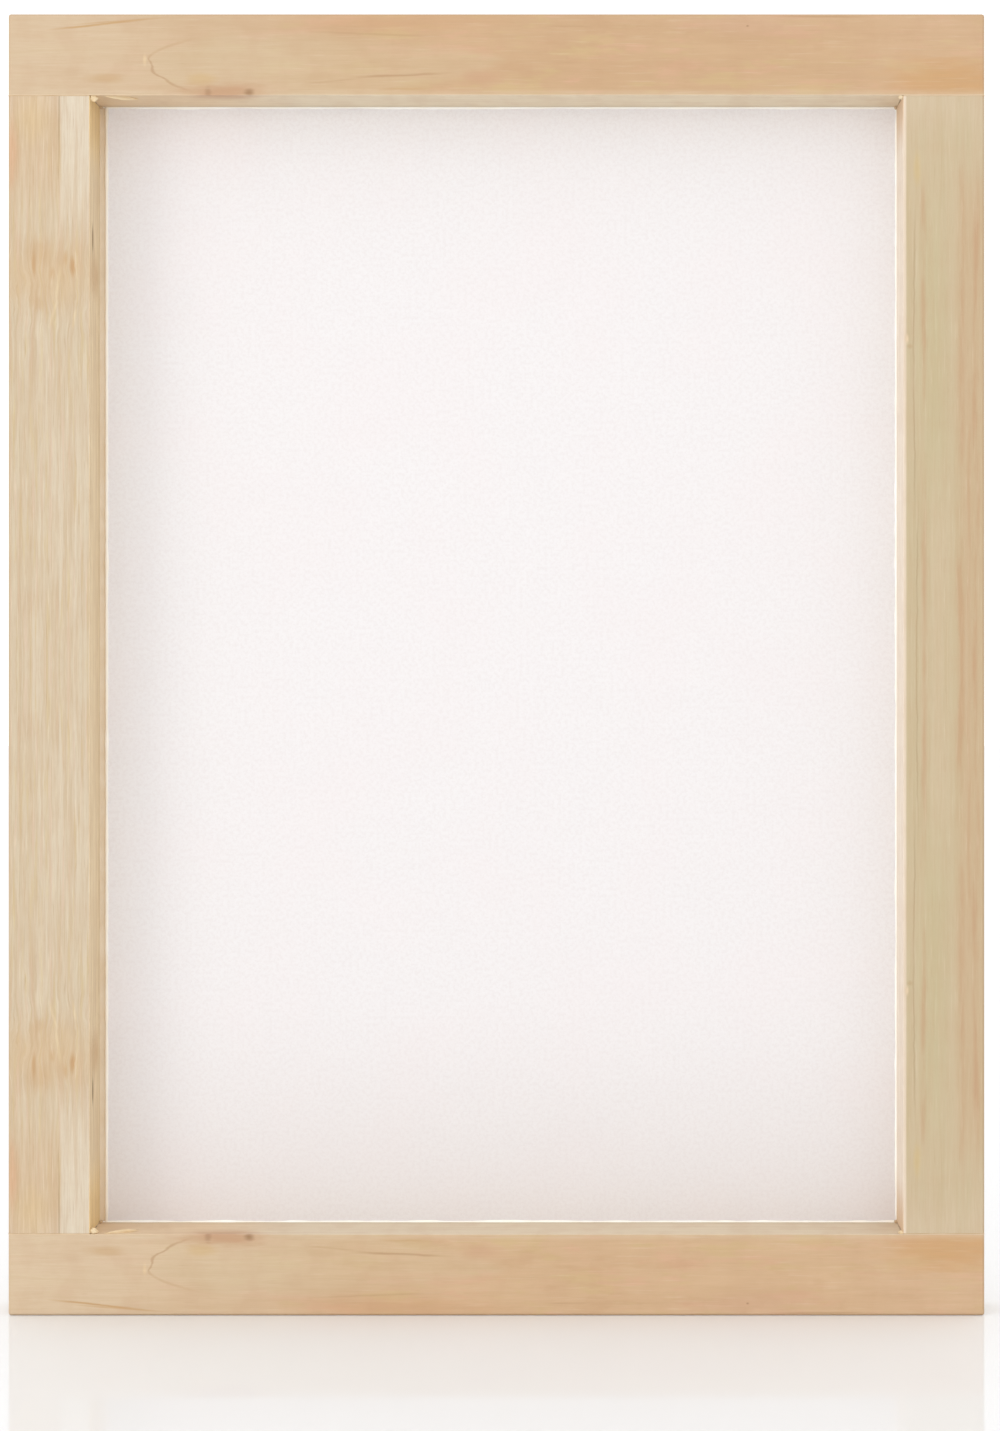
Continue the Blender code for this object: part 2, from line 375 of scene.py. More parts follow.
def rail_wood(name, from_inner_edge, front, half_length, base_tones, pale_tone, wall_tone):
    """Flat-sawn wood. One growth surface grazes the face, as a long egg shape left of the middle."""
    wood = Wood(name, lambda g: g.position()[0], from_inner_edge, front)
    ring = wood.rings(10 * MM, 34 * MM, 2.8 * MM, 5 * MM)
    patchy = wood.noise(wood.stretched(16, 90, 3), detail=3)
    colour = wood.mix(wood.ease(patchy, 0.35, 0.66), *base_tones)
    for seed, amount, target in (
        (51, 0.45, wood_tone(226, 178, 148)),
        (57, 0.5, wood_tone(216, 190, 138)),
        (63, 0.3, wood_tone(206, 166, 126)),
    ):
        mottle = wood.noise(wood.stretched(48, 170, seed), detail=4, roughness=0.6)
        colour = wood.tint(colour, wood.ease(mottle, 0.52, 0.64), amount, target)
    left_half = wood.ease(wood.along, 10 * MM, -60 * MM)
    colour = wood.tint(colour, wood.mul(ring, left_half), 0.12, wood_tone(197, 153, 110))
    left_end = wood.ease(wood.along, -88 * MM, -132 * MM)
    colour = wood.tint(colour, left_end, 0.65, wood_tone(227, 203, 172))
    top_band = wood.spot(-32 * MM, 23 * MM, 48 * MM, 5 * MM)
    colour = wood.tint(colour, top_band, 0.6, wood_tone(216, 172, 132))
    rosy_band = wood.spot(80 * MM, 22 * MM, 34 * MM, 5 * MM)
    colour = wood.tint(colour, rosy_band, 0.5, wood_tone(220, 180, 150))

    fuller_below = wood.mul(wood.ease(wood.across, 12 * MM, 8 * MM), 5.2 * MM)
    half_v = wood.add(fuller_below, 8.8 * MM)
    oval = wood.oval(-53 * MM, 11 * MM, 56 * MM, half_v, 9 * MM, 0.25, 2.2 * MM)
    left_of_middle = wood.ease(wood.along, -20 * MM, -80 * MM)
    colour = wood.tint(colour, wood.ease(oval, 1.5 * MM, -4 * MM), 0.4, wood_tone(219, 196, 160))
    crisp_inside = wood.mul(wood.ease(oval, 0.1 * MM, -0.8 * MM), left_of_middle)
    colour = wood.tint(colour, crisp_inside, 0.2, wood_tone(219, 196, 160))
    pale_left = wood.ease(wood.along, -40 * MM, -88 * MM)
    colour = wood.tint(colour, pale_left, 0.45, pale_tone)
    right_end = wood.ease(wood.along, 100 * MM, 130 * MM)
    colour = wood.tint(colour, right_end, 0.3, wood_tone(226, 192, 158))
    skin = wood.ease(wood.math("ABSOLUTE", oval), 0.42 * MM, 0.05 * MM)
    low_on_face = wood.ease(wood.across, 13 * MM, 10.5 * MM)
    lower_tip = wood.mul(wood.ease(wood.along, -93 * MM, -102 * MM), low_on_face)
    colour = wood.tint(colour, wood.mul(skin, lower_tip), 0.5, wood_tone(182, 140, 102))
    high_on_face = wood.ease(wood.across, 10.5 * MM, 13 * MM)
    upper_tip = wood.mul(wood.ease(wood.along, -92 * MM, -100 * MM), high_on_face)
    colour = wood.tint(colour, wood.mul(skin, upper_tip), 0.35, wood_tone(198, 160, 118))
    pale_tip = wood.spot(-109.8 * MM, 11.2 * MM, 0.9 * MM, 2.8 * MM)
    colour = wood.tint(colour, pale_tip, 0.7, wood_tone(240, 214, 172))

    golden = wood_tone(202, 160, 106)
    brown = wood_tone(186, 146, 106)
    lines = (
        ((-143, 20.0), (-106, 24.0), 0.50, 0.8, golden),
        ((-135, 21.8), (-100, 24.4), 0.40, 0.5, golden),
        ((-62, 3.4), (-40, 5.4), 0.40, 0.25, brown),
        ((-48, 5.4), (-12, 7.0), 0.60, 0.65, brown),
        ((-38, 1.8), (-20, 2.0), 0.60, 0.4, golden),
        ((-64, 20.0), (-10, 18.0), 0.50, 0.3, brown),
        ((14, 21.6), (32, 21.4), 0.40, 0.3, brown),
        ((84, 24.6), (120, 24.4), 0.45, 0.5, brown),
    )
    for (u0, v0), (u1, v1), half_width, amount, target in lines:
        line = wood.hair((u0 * MM, v0 * MM), (u1 * MM, v1 * MM), half_width * MM)
        colour = wood.tint(colour, line, amount, target)

    for u, v, half_u, half_v, amount, target in (
        (-122, 5.2, 9.0, 2.2, 0.4, golden),
        (-133, 7.6, 6.0, 2.0, 0.12, brown),
        (-5, 5.6, 10.0, 3.6, 0.35, wood_tone(210, 162, 132)),
        (-92, 5.0, 7.0, 3.4, 0.45, wood_tone(214, 178, 120)),
        (142, 4.0, 30.0, 12.0, 0.75, wood_tone(214, 166, 112)),
    ):
        blotch = wood.spot(u * MM, v * MM, half_u * MM, half_v * MM)
        colour = wood.tint(colour, blotch, amount, target)
    # Painted shade along the front and back arrises at the rail's ends.
    painted_end_shade = wood.ease(wood.math("ABSOLUTE", wood.along), half_length - 1 * MM, half_length - 0.2 * MM)
    colour = wood.tint(colour, wood.mul(painted_end_shade, wood.by_front_or_back()), 0.4, wood_tone(190, 160, 128))
    # Painted shade along the outer arrises.
    colour = wood.painted_edge_shade(colour)
    inner = wood.ease(wood.across, 2.4 * MM, 0.2 * MM)
    colour = wood.tint(colour, inner, 0.35, wood_tone(228, 208, 178))
    wall = wood.ease(wood.across, 0.25 * MM, 0.02 * MM)
    colour = wood.tint(colour, wall, 0.85, wall_tone)
    tan_part = wood.mul(wall, wood.ease(wood.along, -60 * MM, -96 * MM))
    colour = wood.tint(colour, tan_part, 0.55, wood_tone(244, 210, 168))
    # Painted shade: the wall is darker towards its foot, in the corner where it meets the cloth.
    painted_foot_shade = wood.mul(wall, wood.ease(wood.depth, 15 * MM, 18.6 * MM))
    colour = wood.tint(colour, painted_foot_shade, 0.35, wood_tone(176, 160, 136))
    colour = wood.end_grain(colour, ring, half_length)

    stain = wood.spot(-85 * MM, 0.8 * MM, 19 * MM, 4.4 * MM, 0.0, 8 * MM)
    colour = wood.tint(colour, stain, 0.65, wood_tone(198, 146, 110))
    for u, v, half_u, half_v, amount in (
        (-90.0, 1.1, 1.6, 2.2, 0.38),
        (-77.2, 0.9, 2.4, 1.6, 0.75),
        (78.4, 21.6, 0.7, 0.5, 0.6),
    ):
        knot = wood.spot(u * MM, v * MM, half_u * MM, half_v * MM, 0.0, 3 * MM)
        colour = wood.tint(colour, knot, amount, wood_tone(146, 106, 66))
    return wood.finish_wood(colour, ring, 0.5, 0.15)


def stile_wood(name, middle_z, from_inner_edge, front):
    """Wood whose u is the height above or below the middle, so both halves of a stile look alike."""

    def along(g):
        return g.math("ABSOLUTE", g.sub(g.position()[2], middle_z))

    return Wood(name, along, from_inner_edge, front)


def left_stile_wood(middle_z, inner_x, front, half_length):
    """Straight pale grain, with a golden swirl where a branch was, near each end."""
    wood = stile_wood("left_stile_wood", middle_z, lambda g: g.sub(inner_x, g.position()[0]), front)
    wood.bend_grain(116 * MM, 16 * MM, 6 * MM)
    ring = wood.rings(95 * MM, 30 * MM, 2.1 * MM, 9 * MM)
    patchy = wood.noise(wood.stretched(8, 160, 5), detail=3)
    colour = wood.mix(wood.ease(patchy, 0.36, 0.66), wood_tone(221, 204, 176), wood_tone(227, 212, 187))
    colour = wood.tint(colour, ring, 0.08, wood_tone(206, 178, 140))
    for scale, seed, low, high, amount, target in (
        (700, 31, 0.52, 0.66, 0.5, wood_tone(228, 198, 172)),
        (560, 37, 0.52, 0.68, 0.5, wood_tone(222, 200, 150)),
        (900, 41, 0.54, 0.68, 0.4, wood_tone(204, 186, 156)),
    ):
        fibres = wood.noise(wood.stretched(34, scale, seed), detail=4, roughness=0.6)
        colour = wood.tint(colour, wood.ease(fibres, low, high), amount, target)

    toward_end = wood.ease(wood.along, 124 * MM, 166 * MM)
    outer_part = wood.ease(wood.across, 8.4 * MM, 9.6 * MM)
    colour = wood.tint(colour, wood.mul(toward_end, outer_part), 0.5, wood_tone(223, 192, 154))
    past_branch = wood.ease(wood.add(wood.along, wood.mul(patchy, 26 * MM)), 140 * MM, 158 * MM)
    inner_part = wood.mul(past_branch, wood.sub(1.0, outer_part))
    colour = wood.tint(colour, inner_part, 0.7, wood_tone(237, 225, 204))
    tip_part = wood.mul(wood.ease(wood.along, 168 * MM, 177 * MM), outer_part)
    colour = wood.tint(colour, tip_part, 0.45, wood_tone(232, 212, 190))
    golden = wood.spot(172 * MM, 18 * MM, 13 * MM, 8 * MM)
    colour = wood.tint(colour, golden, 0.4, wood_tone(228, 198, 144))
    rosy = wood.spot(159 * MM, 24.2 * MM, 15 * MM, 3 * MM)
    colour = wood.tint(colour, rosy, 0.65, wood_tone(228, 178, 140))
    seam = wood.hair((150 * MM, 9.6 * MM), (205 * MM, 9.4 * MM), 0.3 * MM, 0.1 * MM)
    colour = wood.tint(colour, seam, 0.65, wood_tone(160, 142, 116))

    near_branch = wood.spot(122 * MM, 13 * MM, 17 * MM, 24 * MM)
    colour = wood.tint(colour, near_branch, 0.5, wood_tone(220, 186, 140))
    for u, v, half_u, half_v, amount in (
        (124, 5.2, 4.5, 1.5, 0.75),
        (127, 7.6, 4.0, 1.1, 0.4),
        (124.5, 17.4, 5.5, 1.0, 0.55),
        (129, 15.6, 6.0, 4.6, 0.22),
        (122, 11.6, 3.0, 1.4, 0.35),
        (112.5, 16, 3.5, 3.4, 0.22),
    ):
        smear = wood.spot(u * MM, v * MM, half_u * MM, half_v * MM)
        colour = wood.tint(colour, smear, amount, wood_tone(201, 152, 98))
    for (u0, v0), (u1, v1) in (((126, 9.2), (112, 10.4)), ((115, 10), (104, 12.6)), ((112, 4), (104, 5.4))):
        pale_hair = wood.hair((u0 * MM, v0 * MM), (u1 * MM, v1 * MM), 0.7 * MM, 1.6 * MM)
        colour = wood.tint(colour, pale_hair, 0.6, wood_tone(242, 222, 182))
    # Painted shade along the outer arrises.
    colour = wood.painted_edge_shade(colour)

    wall = wood.ease(wood.across, 0.25 * MM, 0.02 * MM)
    colour = wood.tint(colour, wall, 0.85, wood_tone(251, 228, 187))
    # Painted highlight: a paler band on the wall just behind its front arris.
    painted_wall_highlight = wood.ease(wood.math("ABSOLUTE", wood.sub(wood.depth, 3.4 * MM)), 2.4 * MM, 0.8 * MM)
    colour = wood.tint(colour, wood.mul(wall, painted_wall_highlight), 0.45, wood_tone(255, 236, 194))
    gold = wood.mul(wall, wood.ease(wood.along, 152 * MM, 170 * MM))
    colour = wood.tint(colour, gold, 0.85, wood_tone(255, 222, 157))
    brown_patch = wood.mul(wall, wood.spot(123 * MM, 0.0, 10 * MM, 5 * MM, 8 * MM, 12 * MM))
    colour = wood.tint(colour, brown_patch, 0.5, wood_tone(206, 160, 104))
    # Painted shade: the wall is darker towards its foot, in the corner where it meets the cloth.
    painted_foot_shade = wood.mul(wall, wood.ease(wood.depth, 15 * MM, 18.6 * MM))
    colour = wood.tint(colour, painted_foot_shade, 0.15, wood_tone(164, 132, 96))
    fleck = wood.mul(wall, wood.spot(134 * MM, 0.0, 6.0 * MM, 5 * MM, 5.5 * MM, 2.0 * MM))
    colour = wood.tint(colour, fleck, 0.9, wood_tone(126, 96, 54))
    colour = wood.end_grain(colour, ring, half_length)
    return wood.finish_wood(colour, ring, 1.1)


def right_stile_wood(middle_z, inner_x, front, half_length):
    """Greener, plainer wood with a few long tan streaks."""
    wood = stile_wood("right_stile_wood", middle_z, lambda g: g.sub(g.position()[0], inner_x), front)
    ring = wood.rings(-35 * MM, 48 * MM, 3.6 * MM, 5 * MM)
    patchy = wood.noise(wood.stretched(9, 140, 2), detail=3)
    colour = wood.mix(wood.ease(patchy, 0.36, 0.66), wood_tone(208, 191, 155), wood_tone(214, 195, 162))
    colour = wood.tint(colour, ring, 0.06, wood_tone(198, 170, 130))
    below_top = wood.ease(wood.along, 162 * MM, 140 * MM)
    green = wood.mul(wood.spot(100 * MM, 8.5 * MM, 90 * MM, 6 * MM), below_top)
    colour = wood.tint(colour, green, 0.4, wood_tone(204, 192, 150))
    rosy = wood.mul(wood.ease(wood.across, 14 * MM, 20 * MM), below_top)
    colour = wood.tint(colour, rosy, 0.55, wood_tone(209, 178, 142))
    for v, width, amount in ((6.4, 1.3, 0.55), (18.0, 2.0, 0.5), (22.6, 1.6, 0.55), (20.4, 1.0, 0.4)):
        line = wood.mul(wood.streak(v * MM, width * MM, v), below_top)
        colour = wood.tint(colour, line, amount, wood_tone(199, 154, 116))
    for (u0, v0), (u1, v1) in (((148, 3.8), (88, 3.0)), ((110, 3.0), (40, 3.8)), ((60, 4.6), (-20, 4.0))):
        line = wood.hair((u0 * MM, v0 * MM), (u1 * MM, v1 * MM), 0.4 * MM, 1.4 * MM)
        colour = wood.tint(colour, line, 0.5, wood_tone(180, 152, 116))
    golden = wood.spot(155 * MM, 4.4 * MM, 8 * MM, 1.6 * MM)
    colour = wood.tint(colour, golden, 0.4, wood_tone(222, 196, 130))
    pale_top = wood.ease(wood.along, 162 * MM, 176 * MM)
    colour = wood.tint(colour, pale_top, 0.4, wood_tone(224, 204, 176))
    # Painted highlight: a broken cream strip along the face's inner arris.
    fade = wood.noise(wood.stretched(5, 30, 1), detail=2)
    painted_arris_highlight = wood.mul(wood.ease(wood.across, 1.3 * MM, 0.5 * MM), wood.ease(fade, 0.2, 0.5))
    colour = wood.tint(colour, painted_arris_highlight, 0.9, wood_tone(246, 228, 206))
    # A chip in the arris, painted: a dark spot for its shadow and a pale spot for its lit face.
    painted_nick_shadow = wood.spot(99.4 * MM, 2.1 * MM, 1.1 * MM, 1.4 * MM)
    colour = wood.tint(colour, painted_nick_shadow, 0.45, wood_tone(192, 160, 122))
    nick = wood.spot(101.8 * MM, 1.2 * MM, 2.4 * MM, 0.9 * MM)
    colour = wood.tint(colour, nick, 0.9, wood_tone(240, 216, 182))
    # Painted shade along the outer arrises.
    colour = wood.painted_edge_shade(colour)
    wall = wood.ease(wood.across, 0.25 * MM, 0.02 * MM)
    colour = wood.tint(colour, wall, 0.9, wood_tone(254, 241, 224))
    gold = wood.mul(wall, wood.ease(wood.along, 160 * MM, 177 * MM))
    colour = wood.tint(colour, gold, 0.6, wood_tone(226, 180, 124))
    colour = wood.end_grain(colour, ring, half_length)
    return wood.finish_wood(colour, ring, 0.5)


def cloth_material(opening_low, opening_high):
    """Plain weave at its real pitch, thin enough that light comes through. It soaks up glue on the wood."""
    g = Graph("mesh_cloth")
    x, _, z = g.position()
    beside = g.math("ABSOLUTE", g.sub(x, (opening_low.x + opening_high.x) / 2))
    above = g.math("ABSOLUTE", g.sub(z, (opening_low.z + opening_high.z) / 2))
    past_side = g.sub(beside, (opening_high.x - opening_low.x) / 2)
    past_end = g.sub(above, (opening_high.z - opening_low.z) / 2)
    on_wood = g.ease(g.math("MAXIMUM", past_side, past_end), 0.5 * MM, 2.5 * MM)
    warp = g.math("SINE", g.mul(x, 2 * math.pi / THREAD_PITCH))
    weft = g.math("SINE", g.mul(z, 2 * math.pi / THREAD_PITCH))
    over = g.math("SINE", g.mul(x, math.pi / THREAD_PITCH))
    under = g.math("SINE", g.mul(z, math.pi / THREAD_PITCH))
    crossing = g.mul(over, under)
    weave = g.add(g.mul(g.add(warp, weft), 0.25), g.mul(crossing, 0.35))
    place = g.combine(x, 0.0, z)
    slub = g.noise(place, scale=900, detail=4, roughness=0.75)
    cloud = g.noise(place, scale=26, detail=2)
    colour = g.mix(g.ease(weave, -0.6, 0.7), srgb(242, 239, 239), srgb(253, 252, 252))
    colour = g.mix(g.mul(g.ease(slub, 0.42, 0.62), 0.26), colour, srgb(230, 223, 222))
    colour = g.mix(g.mul(g.ease(cloud, 0.4, 0.7), 0.14), colour, srgb(248, 239, 239))
    # Painted shade: the cloth is greyer towards its bottom edge.
    painted_low_shade = g.ease(z, opening_low.z + 80 * MM, opening_low.z - 10 * MM)
    colour = g.mix(g.mul(painted_low_shade, 0.24), colour, srgb(222, 211, 204))
    colour = g.mix(g.mul(on_wood, 0.85), colour, wood_tone(240, 222, 196))
    g.put(colour, g.shader.inputs["Base Color"])
    g.put(g.add(0.62, g.mul(slub, 0.2)), g.shader.inputs["Roughness"])
    g.shader.inputs["Sheen Weight"].default_value = 0.15
    g.bump(g.add(weave, g.mul(slub, 0.3)), 0.05 * MM, 0.6)
    through = g.node("ShaderNodeBsdfTranslucent")
    g.put(colour, through.inputs["Color"])
    both = g.node("ShaderNodeMixShader")
    both.inputs["Fac"].default_value = 0.4
    g.put(g.shader.outputs[0], both.inputs[1])
    g.put(through.outputs[0], both.inputs[2])
    g.put(both.outputs[0], g.output.inputs["Surface"])
    return g.material


def adhesive_material(name, clear, cloudy, grain_along_x=None):
    """Cured glue. Over the cloth it wets the weave, and the wood's grain shows through."""
    g = Graph(name)
    x, y, z = g.position()
    pool = g.noise(g.combine(x, y, z), scale=110, detail=5)
    ripple = g.noise(g.combine(x, y, z), scale=900, detail=3, roughness=0.6)
    warp = g.math("SINE", g.mul(x, 2 * math.pi / THREAD_PITCH))
    weft = g.math("SINE", g.mul(z, 2 * math.pi / THREAD_PITCH))
    weave = g.mul(g.add(warp, weft), 0.25)
    colour = g.mix(g.ease(pool, 0.3, 0.7), clear, cloudy)
    if grain_along_x is not None:
        along, across = (x, z) if grain_along_x else (z, x)
        grain = g.noise(g.combine(g.mul(along, 22), g.mul(across, 520), 0.0), detail=4, roughness=0.6)
        colour = g.mix(g.mul(g.ease(grain, 0.42, 0.66), 0.35), colour, wood_tone(206, 172, 130))
        colour = g.mix(g.mul(g.ease(weave, -0.2, 0.4), 0.3), colour, wood_tone(246, 236, 222))
    g.put(colour, g.shader.inputs["Base Color"])
    g.put(g.add(0.26, g.mul(pool, 0.3)), g.shader.inputs["Roughness"])
    g.shader.inputs["Coat Weight"].default_value = 0.2
    g.bump(g.add(g.mul(ripple, 0.4), weave), 0.04 * MM, 0.5)
    return g.material


def steel_material():
    """Drawn wire: bright, with fine scratches round its length and a little darkening."""
    g = Graph("drawn_steel")
    x, y, z = g.position()
    drawn = g.noise(g.combine(g.mul(x, 5000), g.mul(y, 300), g.mul(z, 5000)), detail=3)
    tarnish = g.noise(g.combine(x, y, z), scale=700, detail=3)
    colour = g.mix(g.ease(tarnish, 0.4, 0.7), srgb(196, 196, 194), srgb(132, 126, 118))
    g.put(colour, g.shader.inputs["Base Color"])
    g.put(g.add(0.22, g.mul(drawn, 0.25)), g.shader.inputs["Roughness"])
    g.shader.inputs["Metallic"].default_value = 1.0
    g.bump(drawn, 0.01 * MM, 0.5)
    return g.material


def add_piece(name, form, material):
    """Makes a piece that rides on the frame. Only its edges above SHARP_ANGLE stay sharp."""
    mesh = bpy.data.meshes.new(name)
    form.to_mesh(mesh)
    form.free()
    mesh.shade_smooth()
    mesh.set_sharp_from_angle(angle=SHARP_ANGLE)
    mesh.materials.append(material)
    obj = bpy.data.objects.new(name, mesh)
    bpy.context.scene.collection.objects.link(obj)
    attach(obj, BODY)
    return obj


def wander(position, scale, seed):
    """Smooth noise from about -1 to 1 at a place, the same on every run."""
    return noise.noise(Vector((position * scale, seed * 17.3, seed * 5.1)))


def swept(form, rings):
    """Skins a run of closed rings of points, and caps both ends."""
    made = [[form.verts.new(p) for p in ring] for ring in rings]
    for first, second in zip(made, made[1:]):
        for j in range(len(first)):
            k = (j + 1) % len(first)
            form.faces.new((first[j], first[k], second[k], second[j]))
    form.faces.new(list(reversed(made[0])))
    form.faces.new(made[-1])
    bmesh.ops.recalc_face_normals(form, faces=form.faces)


def make_cloth(low, high, wood_back, material):
    """The stretched cloth: a thin closed sheet lying against the back of the wood."""
    form = bmesh.new()
    front = wood_back + CLOTH_LIFT
    size_x = high.x - low.x
    size_z = high.z - low.z
    bmesh.ops.create_grid(form, x_segments=CLOTH_CELLS_X, y_segments=CLOTH_CELLS_Z, size=0.5)
    for vert in form.verts:
        u = vert.co.x
        v = vert.co.y
        edge_x = CLOTH_EDGE_WANDER * wander(v, 60, 1) * (abs(u) > 0.499)
        edge_z = CLOTH_EDGE_WANDER * wander(u, 60, 2) * (abs(v) > 0.499)
        x = (low.x + high.x) / 2 + u * size_x - math.copysign(abs(edge_x), u)
        z = (low.z + high.z) / 2 + v * size_z - math.copysign(abs(edge_z), v)
        vert.co = (x, front, z)
    cloth = add_piece("stretched_cloth", form, material)
    skin = cloth.modifiers.new("thickness", "SOLIDIFY")
    skin.thickness = CLOTH_THICKNESS
    skin.offset = -1 if cloth.data.polygons[0].normal.y < 0 else 1
    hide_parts("screen_mesh")
    return cloth, (size_x, size_z)


def make_fringe(low, high, wood_back, material):
    """Short cut ends of thread left round the edge of the cloth."""
    form = bmesh.new()
    y = wood_back + CLOTH_LIFT + CLOTH_THICKNESS / 2

    def thread(start, outward, sideways, index):
        length = (0.5 + 0.4 * wander(index, 1.37, 3)) * MM
        lean = 0.5 * wander(index, 2.11, 4)
        rings = []
        for step in range(FRINGE_STEPS + 1):
            t = step / FRINGE_STEPS
            centre = start + outward * length * t + sideways * lean * length * t * t
            ring = []
            for side in range(FRINGE_SIDES):
                turn = 2 * math.pi * side / FRINGE_SIDES
                offset = sideways * math.cos(turn) + Vector((0, 1, 0)) * math.sin(turn)
                ring.append(centre + offset * FRINGE_RADIUS)
            rings.append(ring)
        swept(form, rings)

    index = 0
    for edge_z, outward in ((low.z, -1), (high.z, 1)):
        for x in np.arange(low.x + FRINGE_SPACING, high.x - FRINGE_SPACING, FRINGE_SPACING):
            start = Vector((x + 0.5 * MM * wander(index, 0.9, 5), y, edge_z - outward * FRINGE_INSET))
            thread(start, Vector((0, 0, outward)), Vector((1, 0, 0)), index)
            index += 1
    for edge_x, outward in ((low.x, -1), (high.x, 1)):
        for z in np.arange(low.z + FRINGE_SPACING, high.z - FRINGE_SPACING, FRINGE_SPACING):
            start = Vector((edge_x - outward * FRINGE_INSET, y, z + 0.5 * MM * wander(index, 0.9, 6)))
            thread(start, Vector((outward, 0, 0)), Vector((0, 0, 1)), index)
            index += 1
    return add_piece("cloth_fringe", form, material)


def make_adhesive(node, along_x, wood_back, material, seed):
    """A brushed band of glue in and over the cloth, with edges that wander and a ridged surface."""
    low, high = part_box(node)
    start, end = (low.x, high.x) if along_x else (low.z, high.z)
    near, far = (low.z, high.z) if along_x else (low.x, high.x)
    under = wood_back + CLOTH_LIFT + CLOTH_THICKNESS + ADHESIVE_CLEARANCE
    form = bmesh.new()
    steps = round((end - start) / ADHESIVE_STEP)
    rows = []
    for i in range(steps + 1):
        along = start + (end - start) * i / steps
        inset_near = ADHESIVE_EDGE_WANDER * (0.5 + 0.5 * wander(along, 70, seed))
        inset_far = ADHESIVE_EDGE_WANDER * (0.5 + 0.5 * wander(along, 70, seed + 1))
        top = []
        bottom = []
        for j in range(ADHESIVE_ROWS + 1):
            t = j / ADHESIVE_ROWS
            across = near + inset_near + (far - near - inset_near - inset_far) * t
            place = Vector((along * 90, across * 500, seed))
            crown = min(1.0, 6 * min(t, 1 - t))
            thick = (high.y - under) * (0.25 + 0.6 * crown * (0.62 + 0.38 * noise.noise(place)))
            x, z = (along, across) if along_x else (across, along)
            top.append((x, under + thick, z))
            bottom.append((x, under, z))
        rows.append(top + list(reversed(bottom)))
    swept(form, rows)
    band = add_piece(node + "_film", form, material)
    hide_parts(node)


def make_bead(name, start, end, into_well, size, material, seed):
    """Glue that came through at the foot of a wall: a bead that swells and thins, flat on the cloth."""
    form = bmesh.new()
    steps = round((end - start).length / BEAD_STEP)
    direction = (end - start).normalized()
    side = into_well.normalized()
    up = direction.cross(side)
    rings = []
    for i in range(steps + 1):
        centre = start.lerp(end, i / steps)
        radius = size * (0.75 + 0.5 * wander(i, 0.21, seed) + 0.2 * wander(i, 1.3, seed))
        radius = max(radius, 0.25 * size)
        ring = []
        for k in range(BEAD_SIDES):
            turn = 2 * math.pi * k / BEAD_SIDES
            offset = (side * math.cos(turn) + up * math.sin(turn)) * radius
            offset.y = min(offset.y, BEAD_SINK)
            ring.append(centre + offset)
        rings.append(ring)
    swept(form, rings)
    return add_piece(name, form, material)


def make_fillet(name, start, end, into_well, material, seed):
    """Glue drawn up into the foot of a wall: a hollow wedge that runs out onto the cloth."""
    form = bmesh.new()
    steps = round((end - start).length / BEAD_STEP)
    rings = []
    for i in range(steps + 1):
        centre = start.lerp(end, i / steps)
        swell = 1 + 0.12 * wander(i, 0.17, seed) + 0.05 * wander(i, 0.9, seed)
        ring = []
        for across, toward_back in FILLET_SECTION:
            stretch = swell if across > 0 else 1.0
            ring.append(centre + into_well * (across * stretch) + Vector((0, toward_back, 0)))
        rings.append(ring)
    swept(form, rings)
    return add_piece(name, form, material)


def make_glue_lump(name, centre, radii, material, seed):
    """A blob of squeezed-out glue, roughened so that no two are alike."""
    form = bmesh.new()
    bmesh.ops.create_icosphere(form, subdivisions=4, radius=1.0)
    for vert in form.verts:
        swell = 1 + 0.35 * noise.noise(vert.co * 1.6 + Vector((seed * 9.1, 0, 0)))
        swell += 0.12 * noise.noise(vert.co * 5 + Vector((0, seed * 4.3, 0)))
        vert.co = Vector(centre) + Vector([c * r * swell for c, r in zip(vert.co, radii)])
    return add_piece(name, form, material)


def make_glue_run(name, start, end, material, seed):
    """A dried run of glue along an arris: thin, tapered to both ends and slightly twisted."""
    form = bmesh.new()
    rings = []
    for i in range(RUN_STEPS + 1):
        t = i / RUN_STEPS
        centre = start.lerp(end, t)
        body = max(math.sin(math.pi * t), 0.04) * (1 + 0.35 * wander(i, 0.5, seed))
        half_z = RUN_HEIGHT / 2 * body
        half_y = 0.3 * RUN_HEIGHT * body
        ring = []
        for k in range(RUN_SIDES):
            turn = 2 * math.pi * k / RUN_SIDES + 0.4 * t
            ring.append(centre + Vector((0, math.cos(turn) * half_y, math.sin(turn) * half_z)))
        rings.append(ring)
    swept(form, rings)
    return add_piece(name, form, material)


def make_joint_glue(name, rail, stile, material):
    """The glue line in a corner joint, filling the gap between shoulder and rail just under the surface."""
    rail_low, rail_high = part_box(rail)
    stile_low, stile_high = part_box(stile)
    at_top = rail_low.z > (stile_low.z + stile_high.z) / 2
    inner_z = rail_low.z if at_top else rail_high.z
    z0, z1 = (inner_z - JOINT_GAP, inner_z) if at_top else (inner_z, inner_z + JOINT_GAP)
    front = rail_low.y + JOINT_SUNK
    back = rail_high.y - JOINT_SUNK
    length = stile_high.x - stile_low.x - 2 * JOINT_SUNK
    form = bmesh.new()
    corners = []
    for i in range(JOINT_STEPS + 1):
        x = stile_low.x + JOINT_SUNK + length * i / JOINT_STEPS
        lip = 0.04 * MM * wander(i, 0.7, 8)
        corners.append([(x, front + lip, z0), (x, back, z0), (x, back, z1), (x, front + lip, z1)])
    swept(form, corners)
    return add_piece(name, form, material)


def add_area_light(name, place, target, size, power):
    lamp = bpy.data.lights.new(name, "AREA")
    lamp.shape = "RECTANGLE"
    lamp.size, lamp.size_y = size
    lamp.energy = power
    obj = bpy.data.objects.new(name, lamp)
    obj.location = place
    obj.rotation_euler = (Vector(target) - Vector(place)).to_track_quat("-Z", "Y").to_euler()
    obj.visible_camera = False
    obj.visible_glossy = False
    bpy.context.scene.collection.objects.link(obj)


